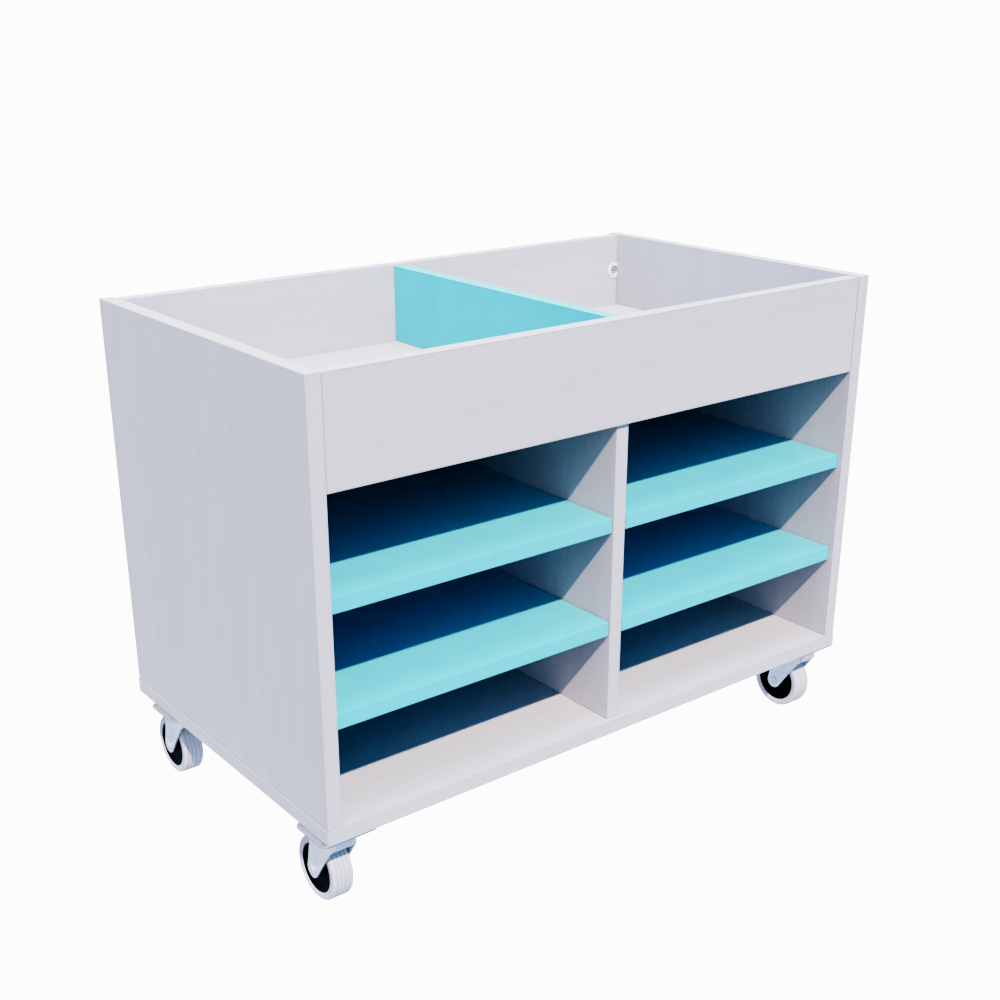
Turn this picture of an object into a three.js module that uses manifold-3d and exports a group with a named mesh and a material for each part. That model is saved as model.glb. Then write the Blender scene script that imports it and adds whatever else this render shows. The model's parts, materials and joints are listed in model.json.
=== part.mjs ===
// Mobile book cart: a laminated cabinet with two open-top book bins above six shelf
// compartments, rolling on four swivel casters.
// Units are millimetres. +X runs along the front towards its right end, -Y faces the user
// and +Z is up. The origin is on the floor, under the middle of the cabinet.

import * as THREE from 'three';
import { mergeVertices } from 'three/addons/utils/BufferGeometryUtils.js';
import Module from 'manifold-3d';

const wasm = await Module();
wasm.setup();

// ---------- Driving dimensions ----------

const BOARD = 18; // thickness of every laminated board
const CABINET_WIDTH = 800; // over the outer faces of the two side panels
const CABINET_DEPTH = 450; // front to back of the side panels
const CABINET_HEIGHT = 480; // side panels, above the base panel
const CASTER_HEIGHT = 100; // floor to the underside of the base panel

const BASE_FRONT_OVERHANG = 1; // base panel beyond the side panels, at the front and the rear
const BASE_SIDE_OVERHANG = 0.5; // and at the left and the right
const RAIL_DROP = 1; // apron and back panel below the tops of the side panels
const APRON_SETBACK = 0.5; // apron's face behind the front edges of the side panels
const BACK_INSET = 2; // back panel's face inside the rear edges of the side panels
const BIN_DEPTH = 100; // side panel tops down to the bin floor
const DIVIDER_DROP = 3; // bin divider below the side panel tops
const PARTITION_SETBACK = 4.5;
const SHELF_SETBACK = 5.5;
const SHELF_CLEARANCE = 1; // round the ends and back of each shelf
const SHELF_SPACING = 109; // clear height under each shelf

const CONNECTOR_RADIUS = 12; // plastic cam housing
const CONNECTOR_DEPTH = 12.5;
const CONNECTOR_PROUD = 0.75;
const CONNECTOR_EDGE = 6; // housing centre to the end of its board
const CONNECTOR_RIM = 6;
const CONNECTOR_MOUTH = 8;
const BOLT_RADIUS = 3;
const BOLT_HEAD_RADIUS = 3.75;
const BOLT_BITE = 11; // length screwed into the side panel
const FIT_GAP = 0.3; // clearance round an inserted piece

const PLATE = { width: 70, length: 60, thickness: 2.5, corner: 8, holeX: 27, holeY: 21, hole: 2.75 };
const RACE = { outer: 20, inner: 8, height: 2.9 };
const KINGPIN = { radius: 5, head: 8, headHeight: 3 };
const FORK = { width: 34, wall: 2.5, front: 17, rear: 29.5, top: 94, frontLip: 77, rearLip: 80, end: 10 };
const FORK_CORNERS = { crown: 2, plan: 9, outer: 4, inner: 5 };
const LEG = { shoulderZ: 86, bendZ: 79, neckY: -10, neckZ: 75, rearZ: 76 };
const WHEEL = { radius: 37.5, width: 26, trail: 27 };
const HUB = { radius: 28.2, halfWidth: 12.4, boss: 8.5, bossReach: 14.2, recess: 1.6, rim: 2.6 };
const TYRE = { bore: 28.5, shoulder: 3, grooves: 4, grooveDepth: 1, grooveWidth: 1.6, tread: 20 };
const AXLE = { radius: 4, running: 0.1, head: 6, headHeight: 1.5, nut: 7.2, nutHeight: 6, pastNut: 1.5 };

const FRONT_AXIS_Y = -194.5; // swivel axes of the two front casters
const REAR_AXIS_Y = 153.5; // swivel axes of the two rear casters
const CASTER_AXIS_X = 371;

const ROUND_SEGMENTS = 28; // tyre and hub
const SMALL_SEGMENTS = 16; // pins, bolts and bores
const SCREW_HOLE_SEGMENTS = 10;

// ---------- Derived places ----------

const BASE_TOP = CASTER_HEIGHT + BOARD;
const CABINET_TOP = BASE_TOP + CABINET_HEIGHT;
const INNER_X = CABINET_WIDTH / 2 - BOARD;
const FRONT_Y = -CABINET_DEPTH / 2;
const REAR_Y = CABINET_DEPTH / 2;
const APRON_Y = FRONT_Y + APRON_SETBACK;
const APRON_BACK_Y = APRON_Y + BOARD;
const BACK_Y = REAR_Y - BACK_INSET - BOARD; // inner face of the back panel
const BIN_FLOOR_TOP = CABINET_TOP - BIN_DEPTH;
const BIN_FLOOR_UNDERSIDE = BIN_FLOOR_TOP - BOARD;
const CONNECTOR_Z = CABINET_TOP - BIN_DEPTH / 2;
const AXLE_Z = WHEEL.radius;
const RACE_TOP = CASTER_HEIGHT - PLATE.thickness - FIT_GAP;

// ---------- Materials ----------

function material(color, roughness, metalness = 0) {
  return new THREE.MeshStandardMaterial({ color, roughness, metalness });
}

const LAMINATE = material(0xd9d8dd, 0.55);
const TURQUOISE = material(0x7cc9dd, 0.5);
const WHITE_PLASTIC = material(0xf2f2f2, 0.4);
const ZINC = material(0xc3cbd6, 0.35, 0.85);
const BLACK_PLASTIC = material(0x111316, 0.45);
const GREY_RUBBER = material(0xd8d6d8, 0.75);

// ---------- Solid helpers ----------

function solidFrom(geometry) {
  const bare = geometry.clone();
  bare.deleteAttribute('normal');
  bare.deleteAttribute('uv');
  const merged = mergeVertices(bare, 1e-4);
  return new wasm.Manifold(new wasm.Mesh({
    numProp: 3,
    vertProperties: new Float32Array(merged.attributes.position.array),
    triVerts: new Uint32Array(merged.index.array),
  }));
}

function geometryFrom(solid) {
  const mesh = solid.getMesh();
  const geometry = new THREE.BufferGeometry();
  geometry.setAttribute('position', new THREE.BufferAttribute(mesh.vertProperties, 3));
  geometry.setIndex(new THREE.BufferAttribute(mesh.triVerts, 1));
  geometry.computeVertexNormals();
  return geometry;
}

function boxSolid(low, high) {
  const size = high.map((value, axis) => value - low[axis]);
  const centre = high.map((value, axis) => (value + low[axis]) / 2);
  const geometry = new THREE.BoxGeometry(...size);
  geometry.translate(...centre);
  return solidFrom(geometry);
}

// A cylinder along X, Y or Z between two stations on that axis.
function cylinderSolid(axis, radius, from, to, centre, segments = SMALL_SEGMENTS) {
  const geometry = new THREE.CylinderGeometry(radius, radius, to - from, segments);
  if (axis === 'x') geometry.rotateZ(Math.PI / 2);
  if (axis === 'z') geometry.rotateX(Math.PI / 2);
  const middle = (from + to) / 2;
  const place = { x: [middle, ...centre], y: [centre[0], middle, centre[1]], z: [...centre, middle] };
  geometry.translate(...place[axis]);
  return solidFrom(geometry);
}

// The corner radius that puts a polygon's flats at the given radius.
function circumscribed(radius, segments = SMALL_SEGMENTS) {
  return radius / Math.cos(Math.PI / segments);
}

// A flat outline pushed along +Z.
function extruded(shape, depth, curveSegments = 3) {
  return new THREE.ExtrudeGeometry(shape, { depth, bevelEnabled: false, curveSegments });
}

function roundedRectangle(left, bottom, right, top, radius) {
  const shape = new THREE.Shape();
  shape.moveTo(left + radius, bottom);
  shape.lineTo(right - radius, bottom);
  shape.absarc(right - radius, bottom + radius, radius, -Math.PI / 2, 0, false);
  shape.lineTo(right, top - radius);
  shape.absarc(right - radius, top - radius, radius, 0, Math.PI / 2, false);
  shape.lineTo(left + radius, top);
  shape.absarc(left + radius, top - radius, radius, Math.PI / 2, Math.PI, false);
  shape.lineTo(left, bottom + radius);
  shape.absarc(left + radius, bottom + radius, radius, Math.PI, 1.5 * Math.PI, false);
  return shape;
}

// An outline drawn in (y, z) becomes a solid centred on X = 0.
function sideProfileSolid(shape, width) {
  const geometry = extruded(shape, width, 5);
  geometry.translate(0, 0, -width / 2);
  geometry.applyMatrix4(new THREE.Matrix4().makeBasis(
    new THREE.Vector3(0, 1, 0), new THREE.Vector3(0, 0, 1), new THREE.Vector3(1, 0, 0)));
  return solidFrom(geometry);
}

// An outline drawn in (x, z) becomes a solid between two stations on Y.
function frontProfileSolid(shape, fromY, toY) {
  const geometry = extruded(shape, toY - fromY);
  geometry.rotateX(Math.PI / 2);
  geometry.translate(0, toY, 0);
  return solidFrom(geometry);
}

// An outline drawn in (x, y) becomes a solid between two heights.
function planSolid(shape, fromZ, toZ) {
  const geometry = extruded(shape, toZ - fromZ);
  geometry.translate(0, 0, fromZ);
  return solidFrom(geometry);
}

// A closed profile of [radius, station] points turned about the wheel's axle.
function turnedAboutX(profile) {
  const points = [...profile, profile[0]].map(([radius, station]) => new THREE.Vector2(radius, station));
  const geometry = new THREE.LatheGeometry(points, ROUND_SEGMENTS);
  geometry.rotateZ(-Math.PI / 2);
  return solidFrom(geometry);
}

const cart = new THREE.Group();

function addNode(name, solid, look, parent = cart) {
  const mesh = new THREE.Mesh(geometryFrom(solid), look.clone());
  mesh.name = name;
  parent.add(mesh);
}

// ---------- Cam connectors between the long boards and the side panels ----------

// side is -1 for the left end of a board and +1 for its right end. face is the board's inner
// face and inward is the direction into the board from that face.
const CONNECTORS = [];
for (const [board, face, inward] of [['back', BACK_Y, 1], ['apron', APRON_BACK_Y, -1]]) {
  for (const [hand, side] of [['left', -1], ['right', 1]]) {
    CONNECTORS.push({ board, hand, side, face, inward, x: side * (INNER_X - CONNECTOR_EDGE) });
  }
}

function boltY({ face, inward }) {
  return face + inward * CONNECTOR_DEPTH / 2;
}

function alongY(radius, connector, near, far) {
  const ends = [connector.face + connector.inward * near, connector.face + connector.inward * far];
  const centre = [connector.x, CONNECTOR_Z];
  return cylinderSolid('y', radius, Math.min(...ends), Math.max(...ends), centre);
}

function connectorPocket(connector) {
  return alongY(CONNECTOR_RADIUS + FIT_GAP, connector, -1, CONNECTOR_DEPTH + FIT_GAP);
}

function boltHole(connector) {
  const end = connector.side * (INNER_X + BOLT_BITE + FIT_GAP);
  const start = connector.side * (INNER_X - 1);
  const centre = [boltY(connector), CONNECTOR_Z];
  return cylinderSolid('x', BOLT_RADIUS + FIT_GAP, Math.min(start, end), Math.max(start, end), centre);
}

// A round white housing, open towards the side panel, with the bolt's head in its middle.
function connectorHousing(connector) {
  const end = connector.side * (INNER_X - FIT_GAP);
  const body = alongY(CONNECTOR_RADIUS, connector, -CONNECTOR_PROUD, CONNECTOR_DEPTH);
  const well = alongY(CONNECTOR_RADIUS - CONNECTOR_RIM, connector, -2 * CONNECTOR_PROUD, CONNECTOR_DEPTH - 2);
  const mouthX = [connector.x, end + connector.side * CONNECTOR_RADIUS];
  const mouthY = [connector.face - connector.inward * 2 * CONNECTOR_PROUD,
    connector.face + connector.inward * (CONNECTOR_DEPTH - 2)];
  const half = CONNECTOR_MOUTH / 2;
  const mouth = boxSolid(
    [Math.min(...mouthX), Math.min(...mouthY), CONNECTOR_Z - half],
    [Math.max(...mouthX), Math.max(...mouthY), CONNECTOR_Z + half]);
  const beyond = [end, connector.side * (INNER_X + CONNECTOR_RADIUS)];
  const trim = boxSolid(
    [Math.min(...beyond), connector.face - BOARD, CONNECTOR_Z - BOARD],
    [Math.max(...beyond), connector.face + BOARD, CONNECTOR_Z + BOARD]);
  return body.subtract(well).subtract(mouth).subtract(trim);
}

function connectorBolt(connector) {
  const { x, side } = connector;
  const centre = [boltY(connector), CONNECTOR_Z];
  const tip = side * (INNER_X + BOLT_BITE);
  const neck = x + side * BOLT_HEAD_RADIUS;
  const shank = cylinderSolid('x', BOLT_RADIUS, Math.min(x, tip), Math.max(x, tip), centre);
  const back = x - side * BOLT_HEAD_RADIUS;
  const head = cylinderSolid('x', BOLT_HEAD_RADIUS, Math.min(back, neck), Math.max(back, neck), centre);
  return shank.add(head);
}

// ---------- Cabinet boards ----------

function sidePanel(side) {
  const faces = [side * INNER_X, side * CABINET_WIDTH / 2];
  let panel = boxSolid([Math.min(...faces), FRONT_Y, BASE_TOP], [Math.max(...faces), REAR_Y, CABINET_TOP]);
  for (const connector of CONNECTORS.filter((item) => item.side === side)) {
    panel = panel.subtract(boltHole(connector));
  }
  return panel;
}

function longBoard(name, fromY, toY, bottom) {
  let board = boxSolid([-INNER_X, fromY, bottom], [INNER_X, toY, CABINET_TOP - RAIL_DROP]);
  for (const connector of CONNECTORS.filter((item) => item.board === name)) {
    board = board.subtract(connectorPocket(connector));
  }
  return board;
}

function shelf(side, level) {
  const underside = BASE_TOP + level * SHELF_SPACING + (level - 1) * BOARD;
  const ends = [side * (BOARD / 2 + SHELF_CLEARANCE), side * (INNER_X - SHELF_CLEARANCE)];
  return boxSolid(
    [Math.min(...ends), FRONT_Y + SHELF_SETBACK, underside],
    [Math.max(...ends), BACK_Y - SHELF_CLEARANCE, underside + BOARD]);
}

function addCabinet() {
  const halfWidth = CABINET_WIDTH / 2 + BASE_SIDE_OVERHANG;
  const halfDepth = CABINET_DEPTH / 2 + BASE_FRONT_OVERHANG;
  addNode('base_panel', boxSolid(
    [-halfWidth, -halfDepth, CASTER_HEIGHT], [halfWidth, halfDepth, BASE_TOP]), LAMINATE);
  addNode('left_side_panel', sidePanel(-1), LAMINATE);
  addNode('right_side_panel', sidePanel(1), LAMINATE);
  addNode('back_panel', longBoard('back', BACK_Y, BACK_Y + BOARD, BASE_TOP), LAMINATE);
  addNode('front_apron', longBoard('apron', APRON_Y, APRON_BACK_Y, BIN_FLOOR_UNDERSIDE), LAMINATE);
  addNode('bin_floor', boxSolid(
    [-INNER_X, APRON_BACK_Y, BIN_FLOOR_UNDERSIDE], [INNER_X, BACK_Y, BIN_FLOOR_TOP]), LAMINATE);
  addNode('centre_partition', boxSolid(
    [-BOARD / 2, FRONT_Y + PARTITION_SETBACK, BASE_TOP], [BOARD / 2, BACK_Y, BIN_FLOOR_UNDERSIDE]), LAMINATE);
  addNode('bin_divider', boxSolid(
    [-BOARD / 2, APRON_BACK_Y, BIN_FLOOR_TOP], [BOARD / 2, BACK_Y, CABINET_TOP - DIVIDER_DROP]), TURQUOISE);
  for (const [hand, side] of [['left', -1], ['right', 1]]) {
    addNode(`shelf_${hand}_lower`, shelf(side, 1), TURQUOISE);
    addNode(`shelf_${hand}_upper`, shelf(side, 2), TURQUOISE);
  }
  for (const connector of CONNECTORS) {
    const ending = `${connector.board}_${connector.hand}`;
    addNode(`connector_housing_${ending}`, connectorHousing(connector), WHITE_PLASTIC);
    addNode(`connector_bolt_${ending}`, connectorBolt(connector), ZINC);
  }
}

// ---------- Casters, each drawn about its own swivel axis with the wheel trailing to +Y ----------

function mountPlate() {
  const { width, length, thickness, corner, holeX, holeY, hole } = PLATE;
  const outline = roundedRectangle(-width / 2, -length / 2, width / 2, length / 2, corner);
  const bottom = CASTER_HEIGHT - thickness;
  let plate = planSolid(outline, bottom, CASTER_HEIGHT);
  plate = plate.subtract(cylinderSolid('z', KINGPIN.radius + FIT_GAP, bottom - 1, CASTER_HEIGHT + 1, [0, 0]));
  for (const x of [-holeX, holeX]) {
    for (const y of [-holeY, holeY]) {
      plate = plate.subtract(
        cylinderSolid('z', hole, bottom - 1, CASTER_HEIGHT + 1, [x, y], SCREW_HOLE_SEGMENTS));
    }
  }
  return plate;
}

function swivelRace() {
  const ring = cylinderSolid('z', RACE.outer, RACE_TOP - RACE.height, RACE_TOP, [0, 0], 24);
  return ring.subtract(cylinderSolid('z', RACE.inner, RACE_TOP - RACE.height - 1, RACE_TOP + 1, [0, 0]));
}

function kingpin() {
  const crownUnderside = FORK.top - FORK.wall;
  const headTop = crownUnderside - AXLE.running;
  const shank = cylinderSolid('z', KINGPIN.radius, headTop - 1, CASTER_HEIGHT, [0, 0]);
  return shank.add(cylinderSolid('z', KINGPIN.head, headTop - KINGPIN.headHeight, headTop, [0, 0]));
}

// Where a straight line from (y, z) touches the leg's round end, as an angle about the axle.
function touchAngle(y, z, side) {
  const fromAxle = [y - WHEEL.trail, z - AXLE_Z];
  return Math.atan2(fromAxle[1], fromAxle[0]) + side * Math.acos(FORK.end / Math.hypot(...fromAxle));
}

// One leg seen from the side: a broad crown that tapers down to a round end at the axle.
function legOutline() {
  const { front, rear, top, end } = FORK;
  const { crown } = FORK_CORNERS;
  const { shoulderZ, bendZ, neckY, neckZ, rearZ } = LEG;
  const arcFrom = touchAngle(neckY, neckZ, 1);
  const arcTo = touchAngle(rear, rearZ, -1) + 2 * Math.PI;
  const shape = new THREE.Shape();
  shape.moveTo(-front, top - crown);
  shape.lineTo(-front, shoulderZ);
  shape.quadraticCurveTo(-front, bendZ, neckY, neckZ);
  shape.absarc(WHEEL.trail, AXLE_Z, end, arcFrom, arcTo, false);
  shape.lineTo(rear, rearZ);
  shape.lineTo(rear, top - crown);
  shape.lineTo(rear - crown, top);
  shape.lineTo(crown - front, top);
  return shape;
}

function fork() {
  const { width, wall, front, rear, top, frontLip, rearLip } = FORK;
  const corners = FORK_CORNERS;
  const far = 80; // well outside the fork, for cutting shapes
  const half = width / 2;
  const outside = sideProfileSolid(legOutline(), width)
    .intersect(planSolid(roundedRectangle(-half, -front, half, far, corners.plan), 0, top + 1))
    .intersect(frontProfileSolid(roundedRectangle(-half, -far, half, top, corners.outer), -far, far));

  const innerHalf = half - wall;
  const hollow = new THREE.Shape();
  hollow.moveTo(wall - front, top - wall);
  hollow.lineTo(wall - front, frontLip);
  hollow.lineTo(-far, frontLip);
  hollow.lineTo(-far, 0);
  hollow.lineTo(far, 0);
  hollow.lineTo(far, rearLip);
  hollow.lineTo(rear - wall, rearLip);
  hollow.lineTo(rear - wall, top - wall);
  const inside = sideProfileSolid(hollow, 2 * innerHalf)
    .intersect(frontProfileSolid(
      roundedRectangle(-innerHalf, -far, innerHalf, top - wall, corners.inner), -far, far));

  const bore = circumscribed(KINGPIN.radius + AXLE.running);
  return outside
    .subtract(inside)
    .subtract(cylinderSolid('z', bore, frontLip, top + 1, [0, 0]))
    .subtract(cylinderSolid('x', AXLE.radius + FIT_GAP, -width, width, [WHEEL.trail, AXLE_Z]));
}

function axleBolt() {
  const centre = [WHEEL.trail, AXLE_Z];
  const face = FORK.width / 2;
  const tip = face + AXLE.nutHeight + AXLE.pastNut;
  const shank = cylinderSolid('x', AXLE.radius, -face - 1, tip, centre);
  const seat = -face - FIT_GAP / 3;
  return shank.add(cylinderSolid('x', AXLE.head, seat - AXLE.headHeight, seat, centre));
}

function axleNut() {
  const centre = [WHEEL.trail, AXLE_Z];
  const seat = FORK.width / 2 + FIT_GAP / 3;
  const face = seat + AXLE.nutHeight;
  const hexagon = cylinderSolid('x', AXLE.nut, seat, face, centre, 6);
  return hexagon.subtract(cylinderSolid('x', AXLE.radius + FIT_GAP, seat - 1, face + 1, centre));
}

function wheelHub() {
  const { radius, halfWidth, boss, bossReach, recess, rim } = HUB;
  const bore = circumscribed(AXLE.radius + AXLE.running, ROUND_SEGMENTS);
  const web = halfWidth - recess;
  const half = [[radius, halfWidth], [radius - rim, halfWidth], [radius - rim - recess, web],
    [boss + recess, web], [boss, bossReach], [bore, bossReach]];
  const mirrored = half.map(([r, x]) => [r, -x]).reverse();
  return turnedAboutX([...mirrored, ...half]);
}

// The tyre's section: a bore, rounded shoulders and a tread with round-the-wheel grooves.
function tyre() {
  const half = WHEEL.width / 2;
  const { bore, shoulder, grooves, grooveDepth, grooveWidth, tread } = TYRE;
  const outer = WHEEL.radius;
  const inset = shoulder * (1 - Math.SQRT1_2); // the shoulder arc's middle point
  const profile = [[bore, -half], [outer - shoulder, -half], [outer - inset, -half + inset],
    [outer, -half + shoulder]];
  for (let index = 0; index < grooves; index += 1) {
    const centre = tread * ((index + 0.5) / grooves - 0.5);
    profile.push(
      [outer, centre - grooveWidth / 2], [outer - grooveDepth, centre], [outer, centre + grooveWidth / 2]);
  }
  profile.push(
    [outer, half - shoulder], [outer - inset, half - inset], [outer - shoulder, half], [bore, half]);
  return turnedAboutX(profile);
}

function addCaster(corner, x, y) {
  const caster = new THREE.Group();
  caster.position.set(x, y, 0);
  cart.add(caster);
  addNode(`${corner}_caster_plate`, mountPlate(), ZINC, caster);
  addNode(`${corner}_swivel_race`, swivelRace(), ZINC, caster);
  addNode(`${corner}_kingpin`, kingpin(), ZINC, caster);
  addNode(`${corner}_fork`, fork(), ZINC, caster);
  addNode(`${corner}_axle_bolt`, axleBolt(), ZINC, caster);
  addNode(`${corner}_axle_nut`, axleNut(), ZINC, caster);

  const wheel = new THREE.Group();
  wheel.position.set(0, WHEEL.trail, AXLE_Z);
  caster.add(wheel);
  addNode(`${corner}_wheel_hub`, wheelHub(), BLACK_PLASTIC, wheel);
  addNode(`${corner}_tyre`, tyre(), GREY_RUBBER, wheel);
}

addCabinet();
for (const [row, y] of [['front', FRONT_AXIS_Y], ['rear', REAR_AXIS_Y]]) {
  for (const [hand, side] of [['left', -1], ['right', 1]]) {
    addCaster(`${row}_${hand}`, side * CASTER_AXIS_X, y);
  }
}

export default cart;
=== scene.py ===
import json
import math

import bmesh
import bpy
from mathutils import Matrix, Quaternion, Vector


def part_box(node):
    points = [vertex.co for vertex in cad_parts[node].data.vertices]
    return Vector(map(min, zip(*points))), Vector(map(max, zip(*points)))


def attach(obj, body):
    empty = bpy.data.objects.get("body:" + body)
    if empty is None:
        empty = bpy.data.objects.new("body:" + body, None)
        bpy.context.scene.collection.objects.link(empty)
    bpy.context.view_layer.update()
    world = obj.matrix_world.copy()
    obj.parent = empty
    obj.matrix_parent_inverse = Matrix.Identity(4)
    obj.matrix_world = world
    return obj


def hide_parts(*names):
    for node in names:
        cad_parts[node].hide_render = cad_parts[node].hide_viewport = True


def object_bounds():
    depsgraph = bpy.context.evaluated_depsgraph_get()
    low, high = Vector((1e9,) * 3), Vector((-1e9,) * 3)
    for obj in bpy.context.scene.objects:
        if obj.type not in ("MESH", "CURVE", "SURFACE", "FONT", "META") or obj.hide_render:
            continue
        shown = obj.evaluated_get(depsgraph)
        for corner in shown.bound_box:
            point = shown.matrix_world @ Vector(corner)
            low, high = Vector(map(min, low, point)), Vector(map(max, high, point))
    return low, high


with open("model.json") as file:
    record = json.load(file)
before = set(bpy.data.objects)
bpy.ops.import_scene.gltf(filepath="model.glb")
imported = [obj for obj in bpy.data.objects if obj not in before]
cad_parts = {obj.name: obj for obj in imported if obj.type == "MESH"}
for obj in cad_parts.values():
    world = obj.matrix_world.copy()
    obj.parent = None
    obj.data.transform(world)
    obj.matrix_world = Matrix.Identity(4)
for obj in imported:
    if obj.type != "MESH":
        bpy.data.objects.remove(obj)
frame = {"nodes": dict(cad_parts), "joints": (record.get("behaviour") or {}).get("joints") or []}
cad_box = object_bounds()

MM = 0.001
CORNERS = ("front_left", "front_right", "rear_left", "rear_right")
HOUSINGS = ("back_left", "back_right", "apron_left", "apron_right")


def joint_places(ending):
    """Where the joint of each body with this name's ending is, by the rest of its name."""
    return {joint["child"][: -len(ending)]: Vector(joint["pos_m"])
            for joint in frame["joints"] if joint["child"].endswith(ending)}


SWIVELS = joint_places("_caster")
AXLES = joint_places("_wheel")


# ---------- Node materials ----------

MIDDLE = (0.3, 0.7)  # nearly all values of a noise lie between these two


class Graph:
    """One material's node tree, with short calls for the nodes that this scene uses."""

    def __init__(self, name):
        self.material = bpy.data.materials.new(name)
        self.material.use_nodes = True
        self.nodes = self.material.node_tree.nodes
        self.links = self.material.node_tree.links
        self.shader = self.nodes["Principled BSDF"]
        coordinates = self.nodes.new("ShaderNodeTexCoord")
        self.position = coordinates.outputs["Object"]
        self.normal = coordinates.outputs["Normal"]

    def feed(self, socket, value):
        """Links a socket into another, or sets its value."""
        if isinstance(value, bpy.types.NodeSocket):
            self.links.new(value, socket)
        else:
            socket.default_value = value

    def math(self, operation, *values):
        node = self.nodes.new("ShaderNodeMath")
        node.operation = operation
        for socket, value in zip(node.inputs, values):
            self.feed(socket, value)
        return node.outputs["Value"]

    def vector(self, operation, *values):
        node = self.nodes.new("ShaderNodeVectorMath")
        node.operation = operation
        for socket, value in zip(node.inputs, values):
            self.feed(socket, value)
        return node.outputs["Vector"]

    def parts(self, vector):
        """The three numbers of a vector."""
        node = self.nodes.new("ShaderNodeSeparateXYZ")
        self.feed(node.inputs["Vector"], vector)
        return list(node.outputs)

    def joined(self, *values):
        """A vector of three numbers."""
        node = self.nodes.new("ShaderNodeCombineXYZ")
        for socket, value in zip(node.inputs, values):
            self.feed(socket, value)
        return node.outputs["Vector"]

    def noise(self, vector, waves, detail=2.0, roughness=0.5):
        """Noise with this many waves per metre: one number, or one for each axis."""
        waves = waves if isinstance(waves, tuple) else (waves,) * 3
        node = self.nodes.new("ShaderNodeTexNoise")
        self.feed(node.inputs["Vector"], self.vector("MULTIPLY", vector, waves))
        node.inputs["Scale"].default_value = 1.0
        node.inputs["Detail"].default_value = detail
        node.inputs["Roughness"].default_value = roughness
        return node.outputs["Fac"]

    def fit(self, value, low, high, to_low=0.0, to_high=1.0):
        """Spreads values from low to high over to_low to to_high, and stops at both ends."""
        node = self.nodes.new("ShaderNodeMapRange")
        for socket, number in zip(node.inputs, (value, low, high, to_low, to_high)):
            self.feed(socket, number)
        return node.outputs["Result"]

    def blend(self, factor, first, second):
        """Mixes two numbers."""
        node = self.nodes.new("ShaderNodeMix")
        self.feed(node.inputs["Factor"], factor)
        self.feed(node.inputs[2], first)
        self.feed(node.inputs[3], second)
        return node.outputs[0]

    def tint(self, factor, first, second):
        """Mixes two colours."""
        node = self.nodes.new("ShaderNodeMix")
        node.data_type = "RGBA"
        self.feed(node.inputs["Factor"], factor)
        for socket, colour in ((node.inputs[6], first), (node.inputs[7], second)):
            is_socket = isinstance(colour, bpy.types.NodeSocket)
            self.feed(socket, colour if is_socket else (*colour, 1.0))
        return node.outputs[2]

    def layered(self, colour, *layers):
        """Lays each (mask, strength, colour) over the colour, one after another."""
        for mask, strength, over in layers:
            colour = self.tint(self.math("MULTIPLY", mask, strength), colour, over)
        return colour

    def bump(self, height, strength, distance):
        node = self.nodes.new("ShaderNodeBump")
        self.feed(node.inputs["Height"], height)
        node.inputs["Strength"].default_value = strength
        node.inputs["Distance"].default_value = distance
        self.links.new(node.outputs["Normal"], self.shader.inputs["Normal"])

    def finish(self, colour, roughness, **constants):
        """Sets the shader's sockets. A constant's name is its socket's, with _ for a space."""
        self.feed(self.shader.inputs["Base Color"], colour)
        self.feed(self.shader.inputs["Roughness"], roughness)
        for name, value in constants.items():
            self.shader.inputs[name.replace("_", " ")].default_value = value
        return self.material


def shaded(colour, factor):
    return tuple(channel * factor for channel in colour)


BAND = 0.9 * MM  # thickness of a board's edge band
SEAM = 0.25 * MM  # half width of the glue line beside it
WORN = 2.2 * MM  # reach of the handling wear in from an edge
ARRIS_SHADE = 1.3 * MM  # reach of the painted shade on each side of an arris
ARRIS_SHADE_CORE = 0.3 * ARRIS_SHADE  # the painted shade is at its strongest within this

PALE = (0.62, 0.605, 0.625)
TURQUOISE = (0.20, 0.635, 0.75)
WORN_TURQUOISE = (0.25, 0.69, 0.80)


def thin_axis(box):
    """The axis number of a board's thickness."""
    return min(range(3), key=lambda axis: box[1][axis] - box[0][axis])


def edge_masks(graph, box, thin):
    """The glue line beside each edge band, the wear close to the board's edges, and a line
    of painted shade along its arrises, which darkens them as the shade in joints would."""
    place = graph.parts(graph.position)
    depth = [graph.math("MINIMUM", graph.math("SUBTRACT", place[axis], box[0][axis]),
                        graph.math("SUBTRACT", box[1][axis], place[axis])) for axis in range(3)]
    reach = graph.math("MINIMUM", *(depth[axis] for axis in range(3) if axis != thin))
    pairs = [graph.math("MAXIMUM", depth[axis], depth[axis - 1]) for axis in range(3)]
    second = graph.math("MINIMUM", pairs[0], graph.math("MINIMUM", pairs[1], pairs[2]))
    seam = graph.math("COMPARE", reach, BAND, SEAM)
    worn = graph.fit(reach, 0.0, WORN, to_low=1.0, to_high=0.0)
    # painted shade: darkens the faces close to every arris, standing in for the shade in the
    # joints between boards
    arris_shade = graph.fit(second, ARRIS_SHADE_CORE, ARRIS_SHADE, to_low=1.0, to_high=0.0)
    return seam, worn, arris_shade


def grain_space(graph, thin, grain, seed):
    """Coordinates (along the grain, across it, through the board), turned on the end faces so
    that an edge band's grain runs along the band. The seed shifts them, so no two boards match."""
    other = 3 - thin - grain
    place = graph.parts(graph.position)
    facing = graph.math("ABSOLUTE", graph.parts(graph.normal)[grain])
    end = graph.math("GREATER_THAN", facing, 0.5)
    along = graph.blend(end, place[grain], place[other])
    across = graph.blend(end, place[other], place[grain])
    shift = (seed, 2.3 * seed, 0.7 * seed)
    return graph.vector("ADD", graph.joined(along, across, place[thin]), shift)


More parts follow.
